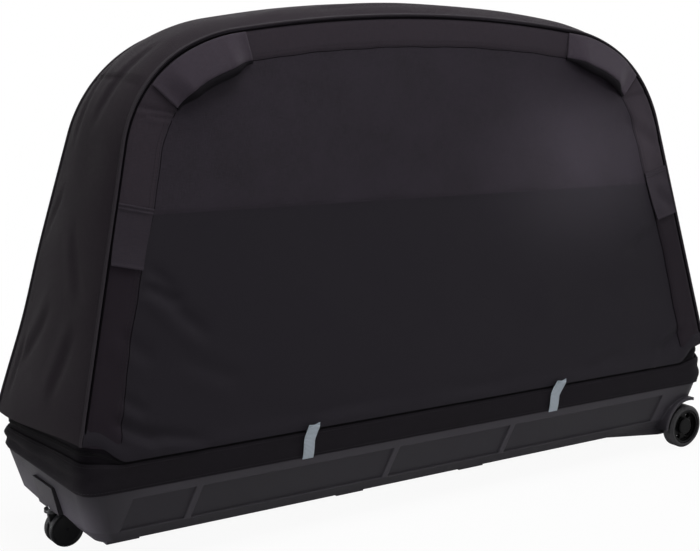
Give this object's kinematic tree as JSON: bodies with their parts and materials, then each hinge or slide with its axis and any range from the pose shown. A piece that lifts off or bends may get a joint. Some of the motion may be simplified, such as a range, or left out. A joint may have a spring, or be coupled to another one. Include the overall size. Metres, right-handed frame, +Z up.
{
  "type": "bike travel case",
  "caption": "Long domed soft case for a bicycle: moulded tub on fixed wheels and a swivel caster, zip-open hooped fabric cover, grab handles, inner rail with fork and axle mounts.",
  "frame": {"origin": "centre of the footprint, on the floor", "axes": "+X along the case towards the fixed wheels, -Y the front with the webbing loops, +Z up"},
  "size_m": [1.4539, 0.3659, 0.938],
  "materials": {
    "tub_plastic": "moulded with a fine grain",
    "hub_plastic": "satin moulded nylon",
    "tyre_rubber": "dull rubber",
    "steel": "turned steel",
    "upper_cloth": "coarse woven nylon",
    "band_cloth": "dense coated nylon",
    "piping_cord": "smooth piping",
    "zip_tape": "woven tape with coil teeth",
    "webbing": "ribbed grey webbing",
    "zip_metal": "black enamel",
    "hoop_pole": "glass fibre pole",
    "ferrule_metal": "drawn tube",
    "rail_metal": "anodised extrusion",
    "mount_metal": "black powder coat",
    "knob_plastic": "moulded knob",
    "foam": "felted foam"
  },
  "bodies": {
    "base": {"base_tub": "tub_plastic", "caster_housing": "tub_plastic", "caster_bush": "hub_plastic", "lower_skirt": "band_cloth", "zip_tape_lower": "zip_tape", "hinge_strip": "band_cloth", "webbing_loop_left": "webbing", "webbing_loop_right": "webbing", "frame_rail": "rail_metal", "rail_screws": "steel", "floor_pads": "foam", "wheel_axle_front": "steel", "wheel_axle_back": "steel"},
    "cover": {"gusset": "upper_cloth", "spreader_bars": "hoop_pole", "zip_tape_upper": "zip_tape", "front_panel": "upper_cloth", "front_piping": "piping_cord", "front_edge_band": "band_cloth", "handle_front_left": "band_cloth", "handle_front_right": "band_cloth", "front_hoop_arch": "hoop_pole", "front_hoop_legs": "hoop_pole", "front_hoop_ferrules": "ferrule_metal", "back_panel": "upper_cloth", "back_piping": "piping_cord", "back_edge_band": "band_cloth", "handle_back_left": "band_cloth", "handle_back_right": "band_cloth", "back_hoop_arch": "hoop_pole", "back_hoop_legs": "hoop_pole", "back_hoop_ferrules": "ferrule_metal"},
    "caster_swivel": {"caster_fork": "hub_plastic", "caster_stem": "steel"},
    "caster_wheels": {"caster_axle": "steel", "caster_disc_front": "tyre_rubber", "caster_disc_back": "tyre_rubber"},
    "fork_mount": {"fork_mount": "mount_metal"},
    "fork_knob": {"fork_knob": "knob_plastic"},
    "rear_mount": {"rear_mount": "mount_metal"},
    "rear_knob": {"rear_knob": "knob_plastic"},
    "wheel_front": {"wheel_tyre_front": "tyre_rubber", "wheel_rim_front": "hub_plastic", "wheel_cap_front": "hub_plastic", "wheel_bearings_front": "steel"},
    "slider_front": {"zip_slider_front": "zip_metal"},
    "pull_front": {"zip_pull_front": "zip_metal"},
    "wheel_back": {"wheel_tyre_back": "tyre_rubber", "wheel_rim_back": "hub_plastic", "wheel_cap_back": "hub_plastic", "wheel_bearings_back": "steel"},
    "slider_back": {"zip_slider_back": "zip_metal"},
    "pull_back": {"zip_pull_back": "zip_metal"}
  },
  "joints": [
    {"name": "cover_hinge", "type": "hinge", "parent": "base", "child": "cover", "pos_m": [0, 0.178, 0.191], "axis": [-1, 0, 0], "range_deg": [0, 95]},
    {"name": "caster_swivel_turn", "type": "hinge", "parent": "base", "child": "caster_swivel", "pos_m": [-0.698, 0, 0.07], "axis": [0, 0, 1], "continuous": true},
    {"name": "caster_roll", "type": "hinge", "parent": "caster_swivel", "child": "caster_wheels", "pos_m": [-0.678, 0, 0.031], "axis": [0, 1, 0], "continuous": true},
    {"name": "fork_mount_slide", "type": "slide", "parent": "base", "child": "fork_mount", "axis": [1, 0, 0], "range_m": [-0.1, 0.15]},
    {"name": "rear_mount_slide", "type": "slide", "parent": "base", "child": "rear_mount", "axis": [1, 0, 0], "range_m": [-0.15, 0.1]},
    {"name": "fork_knob_turn", "type": "hinge", "parent": "fork_mount", "child": "fork_knob", "pos_m": [-0.342, 0, 0.1], "axis": [0, 0, 1], "continuous": true},
    {"name": "rear_knob_turn", "type": "hinge", "parent": "rear_mount", "child": "rear_knob", "pos_m": [0.292, 0, 0.1], "axis": [0, 0, 1], "continuous": true},
    {"name": "wheel_front_roll", "type": "hinge", "parent": "base", "child": "wheel_front", "pos_m": [0.68, -0.163, 0.046], "axis": [0, 1, 0], "continuous": true},
    {"name": "slider_front_slide", "type": "slide", "parent": "base", "child": "slider_front", "axis": [0, -1, 0], "range_m": [0, 0.1]},
    {"name": "pull_front_swing", "type": "hinge", "parent": "slider_front", "child": "pull_front", "pos_m": [0.7257, -0.013, 0.227], "axis": [0, -1, 0], "range_deg": [0, 120]},
    {"name": "wheel_back_roll", "type": "hinge", "parent": "base", "child": "wheel_back", "pos_m": [0.68, 0.163, 0.046], "axis": [0, 1, 0], "continuous": true},
    {"name": "slider_back_slide", "type": "slide", "parent": "base", "child": "slider_back", "axis": [0, 1, 0], "range_m": [0, 0.1]},
    {"name": "pull_back_swing", "type": "hinge", "parent": "slider_back", "child": "pull_back", "pos_m": [0.7257, 0.013, 0.227], "axis": [0, -1, 0], "range_deg": [0, 120]}
  ]
}
